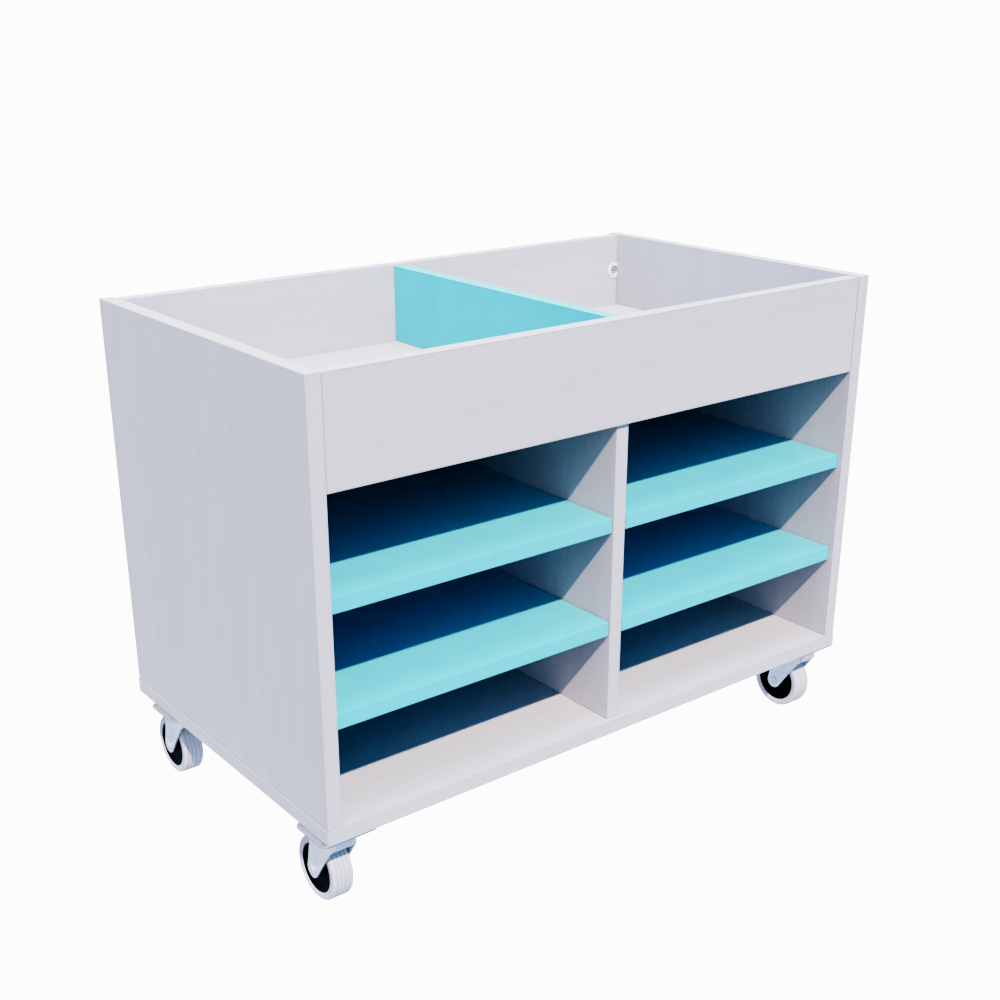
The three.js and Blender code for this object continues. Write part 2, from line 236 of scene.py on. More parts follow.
def woodgrain_laminate(name, box, grain, seed):
    """White-washed woodgrain melamine: broad soft figure, fine streaks and short open pores."""
    graph = Graph(name)
    thin = thin_axis(box)
    space = grain_space(graph, thin, grain, seed)
    wander = 0.006
    sway = graph.fit(graph.noise(space, (5.0, 11.0, 11.0)), *MIDDLE, -wander, wander)
    space = graph.vector("ADD", space, graph.joined(0.0, sway, 0.0))
    figure = graph.fit(graph.noise(space, (3.2, 46.0, 46.0), detail=3.0), 0.32, 0.68)
    streaks = graph.noise(space, (16.0, 620.0, 620.0), detail=4.0, roughness=0.62)
    streaks = graph.fit(streaks, 0.34, 0.66)
    pores = graph.fit(graph.noise(space, (75.0, 2300.0, 2300.0)), 0.60, 0.74)
    seam, worn, arris_shade = edge_masks(graph, box, thin)
    figure_share, streak_share = 0.42, 0.58
    tone = graph.math("ADD", graph.math("MULTIPLY", figure, figure_share),
                      graph.math("MULTIPLY", streaks, streak_share))
    # the last layer is painted shade along the arrises; the layers before it are the board's own
    # pores, wear and glue line
    colour = graph.layered(
        graph.tint(tone, shaded(PALE, 0.915), shaded(PALE, 1.045)),
        (pores, 0.5, shaded(PALE, 0.80)), (worn, 0.12, shaded(PALE, 1.14)),
        (seam, 0.42, shaded(PALE, 0.42)), (arris_shade, 0.5, shaded(PALE, 0.62)))
    streak_relief = 0.5
    relief = graph.math("SUBTRACT", graph.math("MULTIPLY", streaks, streak_relief), pores)
    graph.bump(relief, strength=0.25, distance=0.06 * MM)
    roughness = graph.fit(streaks, 0.0, 1.0, to_low=0.44, to_high=0.54)
    return graph.finish(colour, roughness, Specular_IOR_Level=0.38)


def plain_laminate(name, box, seed):
    """Plain turquoise melamine with a pearl-textured face."""
    graph = Graph(name)
    space = graph.vector("ADD", graph.position, (seed, seed, seed))
    pearl = graph.noise(space, 1500.0)
    cloud = graph.fit(graph.noise(space, 28.0, detail=3.0), *MIDDLE)
    seam, worn, arris_shade = edge_masks(graph, box, thin_axis(box))
    # the last layer is painted shade along the arrises; the layers before it are the board's own
    # wear and glue line
    colour = graph.layered(
        graph.tint(cloud, shaded(TURQUOISE, 0.965), shaded(TURQUOISE, 1.03)),
        (worn, 0.25, WORN_TURQUOISE), (seam, 0.5, shaded(TURQUOISE, 0.4)),
        (arris_shade, 0.4, shaded(TURQUOISE, 0.62)))
    graph.bump(pearl, strength=0.3, distance=0.05 * MM)
    roughness = graph.fit(pearl, *MIDDLE, to_low=0.40, to_high=0.50)
    return graph.finish(colour, roughness, Specular_IOR_Level=0.4)


def zinc(name, brushed, colour):
    """Bright zinc plating on steel. brushed is how many drawn marks there are per metre on each
    axis."""
    graph = Graph(name)
    marks = graph.noise(graph.position, brushed, detail=3.0)
    bloom = graph.fit(graph.noise(graph.position, 95.0, detail=3.0, roughness=0.6), *MIDDLE)
    specks = graph.fit(graph.noise(graph.position, 900.0), 0.66, 0.78)
    plating = graph.layered(graph.tint(bloom, shaded(colour, 0.90), shaded(colour, 1.06)),
                            (specks, 0.25, shaded(colour, 0.6)))
    graph.bump(marks, strength=0.18, distance=0.05 * MM)
    roughness = graph.fit(marks, *MIDDLE, to_low=0.28, to_high=0.42)
    return graph.finish(plating, roughness, Metallic=0.6)


def rubber(name, colour, dust_colour):
    """Non-marking rubber, matt, with a little dust."""
    graph = Graph(name)
    fine = graph.noise(graph.position, 1700.0)
    dust = graph.fit(graph.noise(graph.position, 160.0, detail=4.0, roughness=0.6), 0.42, 0.72)
    dusty = graph.layered(graph.tint(fine, shaded(colour, 0.96), shaded(colour, 1.03)),
                          (dust, 0.35, dust_colour))
    graph.bump(fine, strength=0.35, distance=0.08 * MM)
    roughness = graph.fit(dust, 0.0, 1.0, to_low=0.66, to_high=0.82)
    return graph.finish(dusty, roughness, Specular_IOR_Level=0.3)


def moulded_plastic(name, colour, roughness, sparkle, gleam):
    """Moulded plastic with a fine eroded texture. sparkle is how far its colour varies, and
    gleam its specular level."""
    graph = Graph(name)
    texture = graph.noise(graph.position, 2400.0, detail=3.0)
    cloud = graph.noise(graph.position, 120.0)
    tone = graph.tint(cloud, shaded(colour, 1.0 - sparkle), shaded(colour, 1.0 + sparkle))
    graph.bump(texture, strength=0.3, distance=0.04 * MM)
    spread = 0.06
    rough = graph.fit(texture, *MIDDLE, roughness - spread, roughness + spread)
    return graph.finish(tone, rough, Specular_IOR_Level=gleam)


PRESSED_ZINC = zinc("pressed_zinc", (180.0, 180.0, 1500.0), (0.90, 0.89, 0.91))
PLATE_ZINC = zinc("plate_zinc", (180.0, 1500.0, 180.0), (0.46, 0.47, 0.52))
TURNED_ZINC = zinc("turned_zinc", (2200.0, 260.0, 260.0), (0.82, 0.83, 0.86))
CAST_ZINC = zinc("cast_zinc", (700.0, 700.0, 700.0), (0.72, 0.73, 0.76))
GREY_RUBBER = rubber("grey_rubber_tread", (0.60, 0.585, 0.61), (0.50, 0.48, 0.47))
BLACK_PLASTIC = moulded_plastic("black_hub_plastic", (0.0045, 0.006, 0.010),
                                roughness=0.48, sparkle=0.2, gleam=0.1)
WHITE_PLASTIC = moulded_plastic("white_connector_plastic", (0.93, 0.92, 0.93),
                                roughness=0.36, sparkle=0.02, gleam=0.5)


# ---------- Mesh helpers ----------

# Which of (first, second, station) is X, Y and Z, for a shape about each axis.
AXIS_ORDER = {"x": (2, 0, 1), "y": (0, 2, 1), "z": (0, 1, 2)}
SHARP_EDGE = 30.0  # an edge that turns by more than this, in degrees, is rounded
DOUBLE = 1e-7  # points closer than this, in metres, are one
NO_AREA = 1e-14  # a face smaller than this, in square metres, is none


def arc(centre, radius, start, end, steps):
    """Points on a circular arc; start and end are in degrees."""
    points = []
    for step in range(steps + 1):
        angle = math.radians(start + (end - start) * step / steps)
        points.append((centre[0] + radius * math.cos(angle), centre[1] + radius * math.sin(angle)))
    return points


def circle(centre, radius, count):
    """count points round a circle."""
    return arc(centre, radius, 0, 360 - 360 / count, count - 1)


def rounded_rectangle(left, bottom, right, top, radius, steps=8):
    points = arc((right - radius, bottom + radius), radius, -90, 0, steps)
    points += arc((right - radius, top - radius), radius, 0, 90, steps)
    points += arc((left + radius, top - radius), radius, 90, 180, steps)
    points += arc((left + radius, bottom + radius), radius, 180, 270, steps)
    return points


def dome(radius, seat, height, rim, angles):
    """The (radius, station) profile of a head that rises by height below its seat, over a
    straight rim. The angles run from 0 at its top to 90 at the rim."""
    return [(radius * math.sin(math.radians(angle)),
             seat - rim - (height - rim) * math.cos(math.radians(angle))) for angle in angles]


def smoothed(mesh, sharp=35.0):
    """Smooth shading, apart from edges sharper than this many degrees."""
    for polygon in mesh.polygons:
        polygon.use_smooth = True
    mesh.set_sharp_from_angle(angle=math.radians(sharp))
    return mesh


def mesh_from(name, form):
    bmesh.ops.remove_doubles(form, verts=form.verts, dist=DOUBLE)
    bmesh.ops.recalc_face_normals(form, faces=form.faces)
    mesh = bpy.data.meshes.new(name)
    form.to_mesh(mesh)
    form.free()
    return mesh


def turned(name, axis, profile, segments=96, sharp=35.0):
    """A closed profile of (radius, station) points in mm, turned about an axis through the
    origin."""
    form = bmesh.new()
    order = AXIS_ORDER[axis]
    rings = []
    for radius, station in profile:
        ring = []
        for step in range(segments):
            angle = 2 * math.pi * step / segments
            local = (radius * math.cos(angle), radius * math.sin(angle), station)
            ring.append(form.verts.new(Vector([local[i] for i in order]) * MM))
        rings.append(ring)
    for first, second in zip(rings, rings[1:] + rings[:1]):
        for step in range(segments):
            after = (step + 1) % segments
            if first[step].co != second[step].co:
                form.faces.new((first[step], first[after], second[after], second[step]))
    flat = [face for face in form.faces if face.calc_area() < NO_AREA]
    bmesh.ops.delete(form, geom=flat, context="FACES_ONLY")
    return smoothed(mesh_from(name, form), sharp)


def prism(name, axis, outline, low, high):
    """A flat outline in mm, pushed from one station to another. The outline is in (y, z) for
    axis x, in (x, z) for y and in (x, y) for z."""
    form = bmesh.new()
    order = AXIS_ORDER[axis]
    ends = []
    for station in (low, high):
        ends.append([form.verts.new(Vector([(*point, station)[i] for i in order]) * MM)
                     for point in outline])
    form.faces.new(ends[0])
    form.faces.new(reversed(ends[1]))
    for index in range(len(outline)):
        after = (index + 1) % len(outline)
        form.faces.new((ends[0][index], ends[0][after], ends[1][after], ends[1][index]))
    return mesh_from(name, form)


def placed(name, data):
    """A new object in the scene."""
    thing = bpy.data.objects.new(name, data)
    bpy.context.scene.collection.objects.link(thing)
    return thing


def evaluated_mesh(holder):
    """The mesh of an object with its modifiers applied."""
    graph = bpy.context.evaluated_depsgraph_get()
    return bpy.data.meshes.new_from_object(holder.evaluated_get(graph))


def combined(mesh, *steps):
    """Applies boolean steps of (operation, other mesh) and returns the result."""
    holder = placed("holder", mesh)
    others = []
    for operation, other in steps:
        others.append(placed("cutter", other))
        modifier = holder.modifiers.new("step", "BOOLEAN")
        modifier.operation = operation
        modifier.solver = "EXACT"
        modifier.object = others[-1]
    result = evaluated_mesh(holder)
    for thing in [holder, *others]:
        bpy.data.objects.remove(thing)
    return result


def softened(mesh, width, segments=2, angle=SHARP_EDGE):
    """Rounds by width, in mm, every edge of a mesh that is sharper than the angle."""
    holder = placed("holder", mesh)
    modifier = holder.modifiers.new("round", "BEVEL")
    modifier.width = width * MM
    modifier.segments = segments
    modifier.limit_method = "ANGLE"
    modifier.angle_limit = math.radians(angle)
    modifier.use_clamp_overlap = True
    result = evaluated_mesh(holder)
    bpy.data.objects.remove(holder)
    return smoothed(result, sharp=50.0)


def piece(name, template, move, body, material, replaced=()):
    """A named piece made from a template mesh, moved into place, riding on a body."""
    mesh = template.copy()
    mesh.name = name
    mesh.transform(move)
    if move.determinant() < 0:
        mesh.flip_normals()
    mesh.materials.clear()
    mesh.materials.append(material)
    thing = placed(name, mesh)
    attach(thing, body)
    if replaced:
        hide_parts(*replaced)


# ---------- Cabinet boards ----------

# Each woodgrain board's grain direction, as an axis number.
GRAIN = {
    "base_panel": 0, "left_side_panel": 2, "right_side_panel": 2, "back_panel": 0,
    "front_apron": 0, "bin_floor": 0, "centre_partition": 2,
}
SHELVES = ("shelf_left_lower", "shelf_left_upper", "shelf_right_lower", "shelf_right_upper")
TURQUOISE_BOARDS = ("bin_divider", *SHELVES)
WOOD_SHIFT, PLAIN_SHIFT = 1.7, 0.9  # from one board's place in the noise to the next, in metres
ARRIS = 0.9 * MM  # rounding of a board's edges
WELD = 0.01 * MM  # a board's corner points closer than this are one


def dress_board(name, material):
    board = frame["nodes"][name]
    board.material_slots[0].material = material
    weld = board.modifiers.new("weld", "WELD")
    weld.merge_threshold = WELD
    round_edges = board.modifiers.new("arris", "BEVEL")
    round_edges.width = ARRIS
    round_edges.segments = 3
    round_edges.limit_method = "ANGLE"
    round_edges.angle_limit = math.radians(SHARP_EDGE)


def dress_boards():
    for index, (name, grain) in enumerate(GRAIN.items()):
        seed = WOOD_SHIFT * index
        dress_board(name, woodgrain_laminate(f"{name}_laminate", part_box(name), grain, seed))
    for index, name in enumerate(TURQUOISE_BOARDS):
        seed = PLAIN_SHIFT * index
        dress_board(name, plain_laminate(f"{name}_laminate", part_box(name), seed))


# ---------- Shelf supports ----------

# Sizes in mm, along the pin from the panel's face. inset is from the shelf's front and rear edge.
SHELF_PIN = {"radius": 2.5, "root": -2.0, "reach": 7.0, "nose": 0.8, "inset": 37.0,
             "collar": 3.5, "collar_low": 0.05, "collar_high": 0.6, "collar_end": 0.8}


def shelf_pin():
    """A turned pin with a collar against the panel, along X from the panel's face."""
    radius, root, reach, nose = (SHELF_PIN[key] for key in ("radius", "root", "reach", "nose"))
    collar, low, high, end = (
        SHELF_PIN[key] for key in ("collar", "collar_low", "collar_high", "collar_end"))
    profile = [(0, root), (radius, root), (radius, low), (collar, low), (collar, high),
               (radius, end), *arc((radius - nose, reach - nose), nose, 0, 90, 4), (0, reach)]
    return turned("shelf_pin", "x", profile, 32)


def add_shelf_pins():
    template = shelf_pin()
    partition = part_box("centre_partition")
    panels = {"left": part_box("left_side_panel")[1].x, "right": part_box("right_side_panel")[0].x}
    inset = SHELF_PIN["inset"] * MM
    for shelf in SHELVES:
        low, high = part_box(shelf)
        hand = "left" if "left" in shelf else "right"
        side = -1 if hand == "left" else 1
        inner = partition[0].x if hand == "left" else partition[1].x
        z = low.z - SHELF_PIN["radius"] * MM
        places = [(face, into, y) for face, into in ((panels[hand], -side), (inner, side))
                  for y in (low.y + inset, high.y - inset)]
        for number, (face, into, y) in enumerate(places, 1):
            move = Matrix.Translation((face, y, z)) @ Matrix.Diagonal((into, 1, 1, 1))
            piece(f"{shelf}_pin_{number}", template, move, "cabinet", TURNED_ZINC)


# ---------- Cam connectors ----------

# Sizes in mm. proud and depth are along the housing's axis, lip rounds its ring, mouth is the
# gap in the ring, edge is how far the ring's two arms reach past the axis, and tip rounds their
# ends.
HOUSING = {"radius": 12.0, "proud": 0.75, "depth": 12.5, "floor": 2.0, "well": 6.0, "lip": 0.7,
           "mouth": 8.0, "edge": 5.7, "tip": 2.6}
CAM = {"radius": 5.75, "face": 0.9, "back": 6.5, "edge": 0.7, "slot": 1.4, "slot_depth": 2.2,
       "slot_margin": 1.2, "slot_corner": 0.4}
# From the bolt's head to its other end: the head, a waist, then the shank.
BOLT = {"head": 3.75, "head_length": 2.6, "head_edge": 0.5, "waist": 2.0, "waist_low": 3.4,
        "waist_high": 5.2, "shank": 2.9, "shank_low": 6.0, "tip": 0.6}


def connector_ring():
    """The plastic housing about the origin: its axis on Y, its mouth towards +X, +Y into the
    board."""
    radius, proud, depth, well, lip = (
        HOUSING[key] for key in ("radius", "proud", "depth", "well", "lip"))
    floor = depth - HOUSING["floor"]
    profile = [(well, floor), (well, lip - proud)]
    profile += arc((well + lip, lip - proud), lip, 180, 270, 4)
    profile += arc((radius - lip, lip - proud), lip, 270, 360, 4)
    profile += [(radius, depth), (0, depth), (0, floor)]
    body = turned("connector_ring", "y", profile, 64)
    half = HOUSING["mouth"] / 2
    far = 2 * radius
    mouth = prism("mouth", "y", [(0, -half), (far, -half), (far, half), (0, half)], -far, floor)
    steps = [("DIFFERENCE", mouth)]
    edge, tip = HOUSING["edge"], HOUSING["tip"]
    reach = math.sqrt(radius ** 2 - (edge - tip) ** 2)
    for side in (1, -1):
        outline = [(edge - tip, side * far)]
        outline += arc((edge - tip, side * (reach - tip)), tip, side * 90, 0, 6)
        outline += [(edge, 0), (far, 0), (far, side * far)]
        steps.append(("DIFFERENCE", prism("trim", "y", outline, -far, far)))
    return smoothed(combined(body, *steps))


def connector_cam():
    """The zinc cam in the housing's well, with a slot for a driver."""
    radius, face, back, edge = (CAM[key] for key in ("radius", "face", "back", "edge"))
    profile = [(0, face), (radius - edge, face), (radius, face + edge), (radius, back), (0, back)]
    body = turned("connector_cam", "y", profile, 48)
    half_width, half_length = CAM["slot"] / 2, radius - CAM["slot_margin"]
    outline = rounded_rectangle(-half_length, -half_width, half_length, half_width,
                                CAM["slot_corner"], 3)
    slot = prism("slot", "y", outline, face - 2, face + CAM["slot_depth"])
    return smoothed(combined(body, ("DIFFERENCE", slot)))


def connector_bolt(length):
    """The steel bolt that joins the housing to the side panel, along X from its head."""
    head, shank, waist, edge, tip = (
        BOLT[key] for key in ("head", "shank", "waist", "head_edge", "tip"))
    profile = [(0, 0), (head - edge, 0), (head, edge), (head, BOLT["head_length"]),
               (waist, BOLT["waist_low"]), (waist, BOLT["waist_high"]), (shank, BOLT["shank_low"]),
               (shank, length - tip), (shank - tip, length), (0, length)]
    return turned("connector_bolt", "x", profile, 40)


def add_connectors():
    ring, cam = connector_ring(), connector_cam()
    for place in HOUSINGS:
        board, hand = place.split("_")
        side = -1 if hand == "left" else 1
        inward = 1 if board == "back" else -1
        low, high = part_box(f"connector_housing_{place}")
        inner = low.x if side > 0 else high.x
        face = (low.y if inward > 0 else high.y) + inward * HOUSING["proud"] * MM
        centre = Vector((inner + side * HOUSING["radius"] * MM, face, (low.z + high.z) / 2))
        move = Matrix.Translation(centre) @ Matrix.Diagonal((side, inward, 1, 1))
        piece(f"connector_ring_{place}", ring, move, "cabinet", WHITE_PLASTIC,
              [f"connector_housing_{place}"])
        piece(f"connector_cam_{place}", cam, move, "cabinet", CAST_ZINC)
        low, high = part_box(f"connector_bolt_{place}")
        middle = (low + high) / 2
        start = (low.x if side > 0 else high.x, middle.y, middle.z)
        move = Matrix.Translation(start) @ Matrix.Diagonal((side, 1, 1, 1))
        piece(f"connector_screw_{place}", connector_bolt((high.x - low.x) / MM), move,
              "cabinet", TURNED_ZINC, [f"connector_bolt_{place}"])


# ---------- Casters ----------

# Sizes in mm about the swivel axis, with the wheel trailing to +Y. Heights are above the floor.
# dimple_floor is the flat share of the dimple in the axle bolt's head.
PLATE = {"half_x": 35.0, "half_y": 30.0, "low": 97.5, "high": 100.0, "corner": 8.0,
         "hole_x": 27.0, "hole_y": 21.0, "hole": 2.75, "bore": 5.3, "edge": 0.35}
SCREW = {"head": 4.2, "height": 1.7, "rim": 0.5, "shank": 2.0, "bite": 12.0,
         "cross": 0.9, "cross_length": 4.6, "cross_corner": 0.3}
RACE = {"outer": 20.0, "inner": 8.2, "low": 94.3, "high": 97.2, "chamfer": 1.2,
        "chamfer_rise": 0.6, "cup": 5.0, "cup_step": 1.0, "cup_rise": 0.5}
KINGPIN = {"radius": 5.0, "head": 8.0, "rim": 0.8, "top": 99.7, "under_crown": 91.4, "low": 88.4,
           "gap": 0.12}
FORK = {"half": 17.0, "wall": 2.5, "front": 17.0, "rear": 29.5, "top": 94.0, "front_lip": 77.0,
        "rear_lip": 80.0, "end": 10.0, "crown": 2.0, "plan": 9.0, "bend": 4.0, "inner_bend": 5.0,
        "edge": 0.45}
LEG = {"shoulder": 86.0, "bend": 79.0, "neck_y": -10.0, "neck_z": 75.0, "rear_z": 76.0}
AXLE = {"trail": 27.0, "height": 37.5, "radius": 4.0, "gap": 0.3, "seat_gap": 0.1, "head": 5.9,
        "head_height": 1.5, "rim": 0.4, "dimple": 0.35, "dimple_floor": 0.7, "pitch": 0.9,
        "thread": 0.35, "tip": 24.4, "tip_edge": 0.7, "last_thread": 0.5}
NUT = {"radius": 7.1, "height": 5.9, "past": 0.05, "seat_edge": 0.7, "seat_rise": 0.5,
       "top_edge": 1.0, "top_drop": 0.6, "bore_gap": 0.15, "edge": 0.12}
TYRE = {"bore": 28.5, "edge": 0.6, "radius": 37.5, "half": 13.0, "shoulder": 3.2, "grooves": 4,
        "depth": 1.0, "groove": 1.9, "tread": 20.0}
HUB = {"radius": 28.3, "half": 12.4, "rim": 2.4, "web": 10.6, "boss": 8.5, "reach": 14.2,
       "bore": 4.2, "edge": 0.5, "slope": 1.6, "slope_rise": 0.9, "dish": 3.0, "fillet": 1.8}
FAR = 80  # further out in mm than any part of a caster, for the shapes that cut it
GROOVE_STEPS = 4  # points on each side of a tread groove's middle


def screw_places():
    return [(x, y) for x in (-PLATE["hole_x"], PLATE["hole_x"])
            for y in (-PLATE["hole_y"], PLATE["hole_y"])]


def mount_plate():
    half_x, half_y = PLATE["half_x"], PLATE["half_y"]
    outline = rounded_rectangle(-half_x, -half_y, half_x, half_y, PLATE["corner"], 12)
    plate = prism("plate", "z", outline, PLATE["low"], PLATE["high"])
    holes = [circle((0, 0), PLATE["bore"], 36)]
    holes += [circle(place, PLATE["hole"], 24) for place in screw_places()]
    low, high = PLATE["low"] - 2, PLATE["high"] + 2
    steps = [("DIFFERENCE", prism("hole", "z", hole, low, high)) for hole in holes]
    return softened(combined(plate, *steps), PLATE["edge"])


def plate_screw():
    """A pan-head screw about its own axis: the head's seat at station 0, the head below it."""
    head, height, shank, bite = (SCREW[key] for key in ("head", "height", "shank", "bite"))
    profile = dome(head, 0, height, SCREW["rim"], range(0, 91, 10))
    profile += [(head, 0), (shank, 0), (shank, bite), (0, bite)]
    body = turned("plate_screw", "z", profile, 36)
    cross, cross_length = SCREW["cross"], SCREW["cross_length"]
    steps = []
    for width, length in ((cross, cross_length), (cross_length, cross)):
        outline = rounded_rectangle(-width / 2, -length / 2, width / 2, length / 2,
                                    SCREW["cross_corner"], 3)
        recess = prism("recess", "z", outline, -height - 1, -height + cross)
        steps.append(("DIFFERENCE", recess))
    return smoothed(combined(body, *steps))


def swivel_race():
    """The pressed ball race between plate and fork: a rolled lip round a shallow cup."""
    outer, inner, low, high = (RACE[key] for key in ("outer", "inner", "low", "high"))
    roll = (high - low) / 2
    cup = outer - RACE["cup"]
    profile = [(inner, low + RACE["chamfer_rise"]), (inner + RACE["chamfer"], low), (cup, low),
               (cup + RACE["cup_step"], low + RACE["cup_rise"])]
    profile += arc((outer - roll, low + roll), roll, -90, 90, 12)
    profile.append((inner, high))
    return turned("swivel_race", "z", profile)


def kingpin():
    """The rivet that the fork turns on, with its domed head under the crown."""
    radius, head, seat, top = (KINGPIN[key] for key in ("radius", "head", "under_crown", "top"))
    profile = dome(head, seat, seat - KINGPIN["low"], KINGPIN["rim"], range(0, 91, 9))
    profile += [(head, seat), (radius, seat), (radius, top), (0, top)]
    return turned("kingpin", "z", profile, 48)


def touch_angle(point, side):
    """Where a straight line from a point (y, z) touches the leg's round end, in degrees."""
    y, z = point[0] - AXLE["trail"], point[1] - AXLE["height"]
    return math.degrees(math.atan2(z, y) + side * math.acos(FORK["end"] / math.hypot(y, z)))


def leg_outline():
    """The fork's side view in (y, z)."""
    front, rear, top, crown = (FORK[key] for key in ("front", "rear", "top", "crown"))
    points = arc((crown - front, top - crown), crown, 90, 180, 5)
    start, bend = (-front, LEG["shoulder"]), (-front, LEG["bend"])
    neck, heel = (LEG["neck_y"], LEG["neck_z"]), (rear, LEG["rear_z"])
    steps = 10
    for step in range(steps + 1):
        t = step / steps
        points.append(tuple((1 - t) ** 2 * start[i] + 2 * t * (1 - t) * bend[i] + t * t * neck[i]
                            for i in range(2)))
    axle = (AXLE["trail"], AXLE["height"])
    points += arc(axle, FORK["end"], touch_angle(neck, 1), touch_angle(heel, -1) + 360, 28)
    points.append(heel)
    points += arc((rear - crown, top - crown), crown, 0, 90, 5)
    return points


def fork():
    """The pressed fork: its side view cut by its rounded plan and its bent-over front view, then
    hollowed out."""
    half, wall, front, rear, top = (FORK[key] for key in ("half", "wall", "front", "rear", "top"))
    side = prism("fork", "x", leg_outline(), -half, half)
    plan = prism("plan", "z", rounded_rectangle(-half, -front, half, FAR, FORK["plan"], 12),
                 0, top + 1)
    crown = prism("crown", "y", rounded_rectangle(-half, -FAR, half, top, FORK["bend"]),
                  -FAR, FAR)
    inner, ceiling = half - wall, top - wall
    hollow_outline = [
        (wall - front, ceiling), (wall - front, FORK["front_lip"]), (-FAR, FORK["front_lip"]),
        (-FAR, 0), (FAR, 0), (FAR, FORK["rear_lip"]), (rear - wall, FORK["rear_lip"]),
        (rear - wall, ceiling)]
    arch = rounded_rectangle(-inner, -FAR, inner, ceiling, FORK["inner_bend"])
    hollow = combined(prism("hollow", "x", hollow_outline, -inner, inner),
                      ("INTERSECT", prism("arch", "y", arch, -FAR, FAR)))
    bore = circle((0, 0), KINGPIN["radius"] + KINGPIN["gap"], 36)
    bore_low, bore_high = 70, top + 2
    axle = circle((AXLE["trail"], AXLE["height"]), AXLE["radius"] + AXLE["gap"], 30)
    axle_end = 30
    solid = combined(side, ("INTERSECT", plan), ("INTERSECT", crown), ("DIFFERENCE", hollow),
                     ("DIFFERENCE", prism("bore", "z", bore, bore_low, bore_high)),
                     ("DIFFERENCE", prism("axle", "x", axle, -axle_end, axle_end)))
    return softened(solid, FORK["edge"], angle=38.0)


def axle_bolt():
    """Head on the -X side, shank through the hub, thread past the nut."""
    half, radius, head, tip = FORK["half"], AXLE["radius"], AXLE["head"], AXLE["tip"]
    seat = -(half + AXLE["seat_gap"])
    crown = dome(head, seat, AXLE["head_height"], AXLE["rim"], range(12, 91, 6))
    dimple = crown[0][1] + AXLE["dimple"]
    profile = [(0, dimple), (crown[0][0] * AXLE["dimple_floor"], dimple), *crown, (head, seat),
               (radius, seat), (radius, half)]
    station = half
    while station + AXLE["pitch"] < tip - AXLE["last_thread"]:
        profile += [(radius - AXLE["thread"], station + AXLE["pitch"] / 2),
                    (radius, station + AXLE["pitch"])]
        station += AXLE["pitch"]
    profile += [(radius - AXLE["tip_edge"], tip), (0, tip)]
    return turned("axle_bolt", "x", profile, 48, sharp=25.0)


def axle_nut():
    """A hexagon nut with turned chamfers."""
    seat = FORK["half"] + AXLE["seat_gap"]
    top = seat + NUT["height"]
    edge = NUT["radius"]
    hexagon = prism("nut", "x", circle((0, 0), edge, 6), seat, top)
    past = edge + NUT["past"]
    profile = [(0, seat), (edge - NUT["seat_edge"], seat), (past, seat + NUT["seat_rise"]),
               (past, top - NUT["top_drop"]), (edge - NUT["top_edge"], top), (0, top)]
    chamfer = turned("chamfer", "x", profile, 72)
    bore = circle((0, 0), AXLE["radius"] + NUT["bore_gap"], 36)
    nut = combined(hexagon, ("INTERSECT", chamfer),
                   ("DIFFERENCE", prism("bore", "x", bore, seat - 1, top + 1)))
    return softened(nut, NUT["edge"], segments=1)


def tyre():
    """Rounded shoulders and a tread with grooves that run round the wheel."""
    bore, edge, radius, half, shoulder = (
        TYRE[key] for key in ("bore", "edge", "radius", "half", "shoulder"))
    profile = [(bore, half - edge), (bore, edge - half), (bore + edge, -half)]
    profile += arc((radius - shoulder, shoulder - half), shoulder, -90, 0, 10)
    for index in range(TYRE["grooves"]):
        middle = TYRE["tread"] * ((index + 0.5) / TYRE["grooves"] - 0.5)
        for step in range(-GROOVE_STEPS, GROOVE_STEPS + 1):
            dip = 0.5 + 0.5 * math.cos(math.pi * step / GROOVE_STEPS)
            station = middle + TYRE["groove"] * step / (2 * GROOVE_STEPS)
            profile.append((radius - TYRE["depth"] * dip, station))
    profile += arc((radius - shoulder, half - shoulder), shoulder, 0, 90, 10)
    profile.append((bore + edge, half))
    return turned("tyre", "x", profile, 128, sharp=60.0)


def wheel_hub():
    """A moulded hub: a raised rim, a dished web and a long boss, alike on both sides."""
    radius, half, rim, web, boss, reach = (
        HUB[key] for key in ("radius", "half", "rim", "web", "boss", "reach"))
    edge, dish, fillet = HUB["edge"], HUB["dish"], HUB["fillet"]
    side = arc((radius - edge, half - edge), edge, 0, 90, 3)
    side += arc((radius - rim, half - edge), edge, 90, 150, 3)
    side += [(radius - rim - HUB["slope"], web + HUB["slope_rise"]), (radius - rim - dish, web),
             (boss + dish, web)]
    side += arc((boss + dish, web + fillet), fillet, 270, 200, 5)
    side += arc((boss - edge, reach - edge), edge, 0, 90, 3)
    side.append((HUB["bore"], reach))
    mirrored = [(r, -station) for r, station in reversed(side)]
    return turned("wheel_hub", "x", mirrored + side, 112, sharp=30.0)


